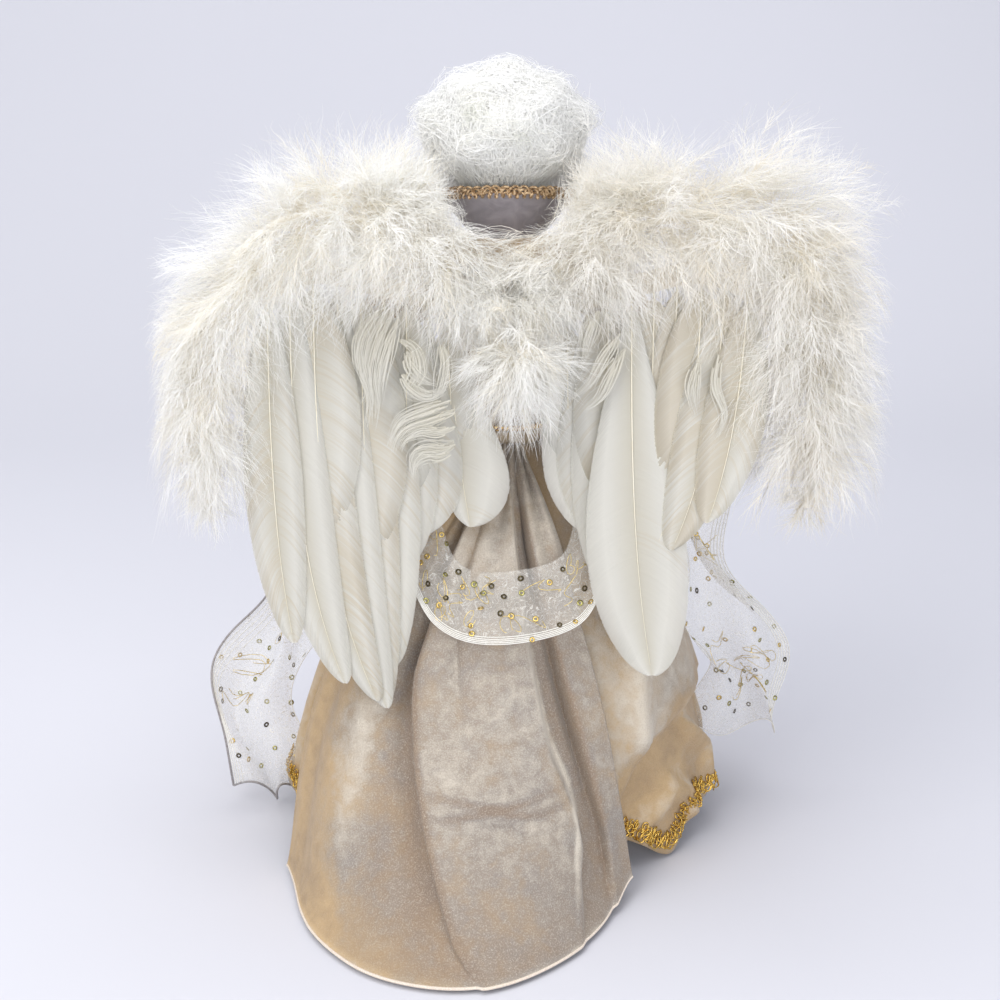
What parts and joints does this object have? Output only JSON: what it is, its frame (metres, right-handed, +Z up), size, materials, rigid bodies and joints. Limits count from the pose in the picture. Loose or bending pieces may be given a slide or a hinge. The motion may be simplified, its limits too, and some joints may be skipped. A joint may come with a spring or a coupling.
{
  "type": "angel tree topper",
  "caption": "Gowned angel on a hollow card cone that slips over a tree tip, with feathered wire-frame wings, velvet train and sheer sequinned stole.",
  "frame": {"origin": "on the table, in the figure's middle plane, half way between the foremost and rearmost points", "axes": "+Z up, +X to the figure's own left, -Y the way the figure faces, +Y towards the train"},
  "size_m": [0.2864, 0.2356, 0.3496],
  "materials": {
    "card": "plain card",
    "body_core": "pressed paper",
    "porcelain": "tinted bisque",
    "hair": "brushed white mohair",
    "velvet": "crushed champagne velvet",
    "satin": "ivory satin",
    "collar_satin": "grey lilac satin",
    "gold_braid": "gold metallic braid",
    "organza": "sheer sequinned organza",
    "steel_wire": "plain wire",
    "marabou": "white marabou down",
    "goose_feather": "ivory goose feather",
    "quill_tape": "cotton tape"
  },
  "bodies": {
    "figure": {"base_cone": "card", "arm_wire": "steel_wire", "torso": "body_core", "bodice": "velvet", "shoulder_head": "porcelain", "wig": "hair", "collar": "collar_satin", "collar_braid": "gold_braid", "underskirt": "satin", "overskirt": "velvet", "skirt_braid": "gold_braid", "train": "velvet", "waist_cord": "gold_braid", "left_sleeve": "velvet", "left_hand": "porcelain", "left_cuff_braid": "gold_braid", "right_sleeve": "velvet", "right_hand": "porcelain", "right_cuff_braid": "gold_braid", "stole": "organza", "wing_bridge": "card", "back_puff": "marabou"},
    "left_wing": {"left_wing_wire": "steel_wire", "left_boa": "marabou", "left_quill_tape": "quill_tape", "left_flight_1": "goose_feather", "left_flight_2": "goose_feather", "left_flight_3": "goose_feather", "left_flight_4": "goose_feather", "left_flight_5": "goose_feather", "left_flight_6": "goose_feather", "left_flight_7": "goose_feather", "left_flight_8": "goose_feather", "left_flight_9": "goose_feather", "left_covert_1": "goose_feather", "left_covert_2": "goose_feather", "left_covert_3": "goose_feather", "left_covert_4": "goose_feather"},
    "right_wing": {"right_wing_wire": "steel_wire", "right_boa": "marabou", "right_quill_tape": "quill_tape", "right_flight_1": "goose_feather", "right_flight_2": "goose_feather", "right_flight_3": "goose_feather", "right_flight_4": "goose_feather", "right_flight_5": "goose_feather", "right_flight_6": "goose_feather", "right_flight_7": "goose_feather", "right_flight_8": "goose_feather", "right_flight_9": "goose_feather", "right_covert_1": "goose_feather", "right_covert_2": "goose_feather", "right_covert_3": "goose_feather", "right_covert_4": "goose_feather"}
  },
  "joints": [
    {"name": "left_wing_sweep", "type": "hinge", "parent": "figure", "child": "left_wing", "pos_m": [0.009, 0.00181, 0.256], "axis": [0, 0, 1], "range_deg": [0, 25]},
    {"name": "right_wing_sweep", "type": "hinge", "parent": "figure", "child": "right_wing", "pos_m": [-0.009, 0.00181, 0.256], "axis": [0, 0, -1], "range_deg": [0, 25]}
  ]
}
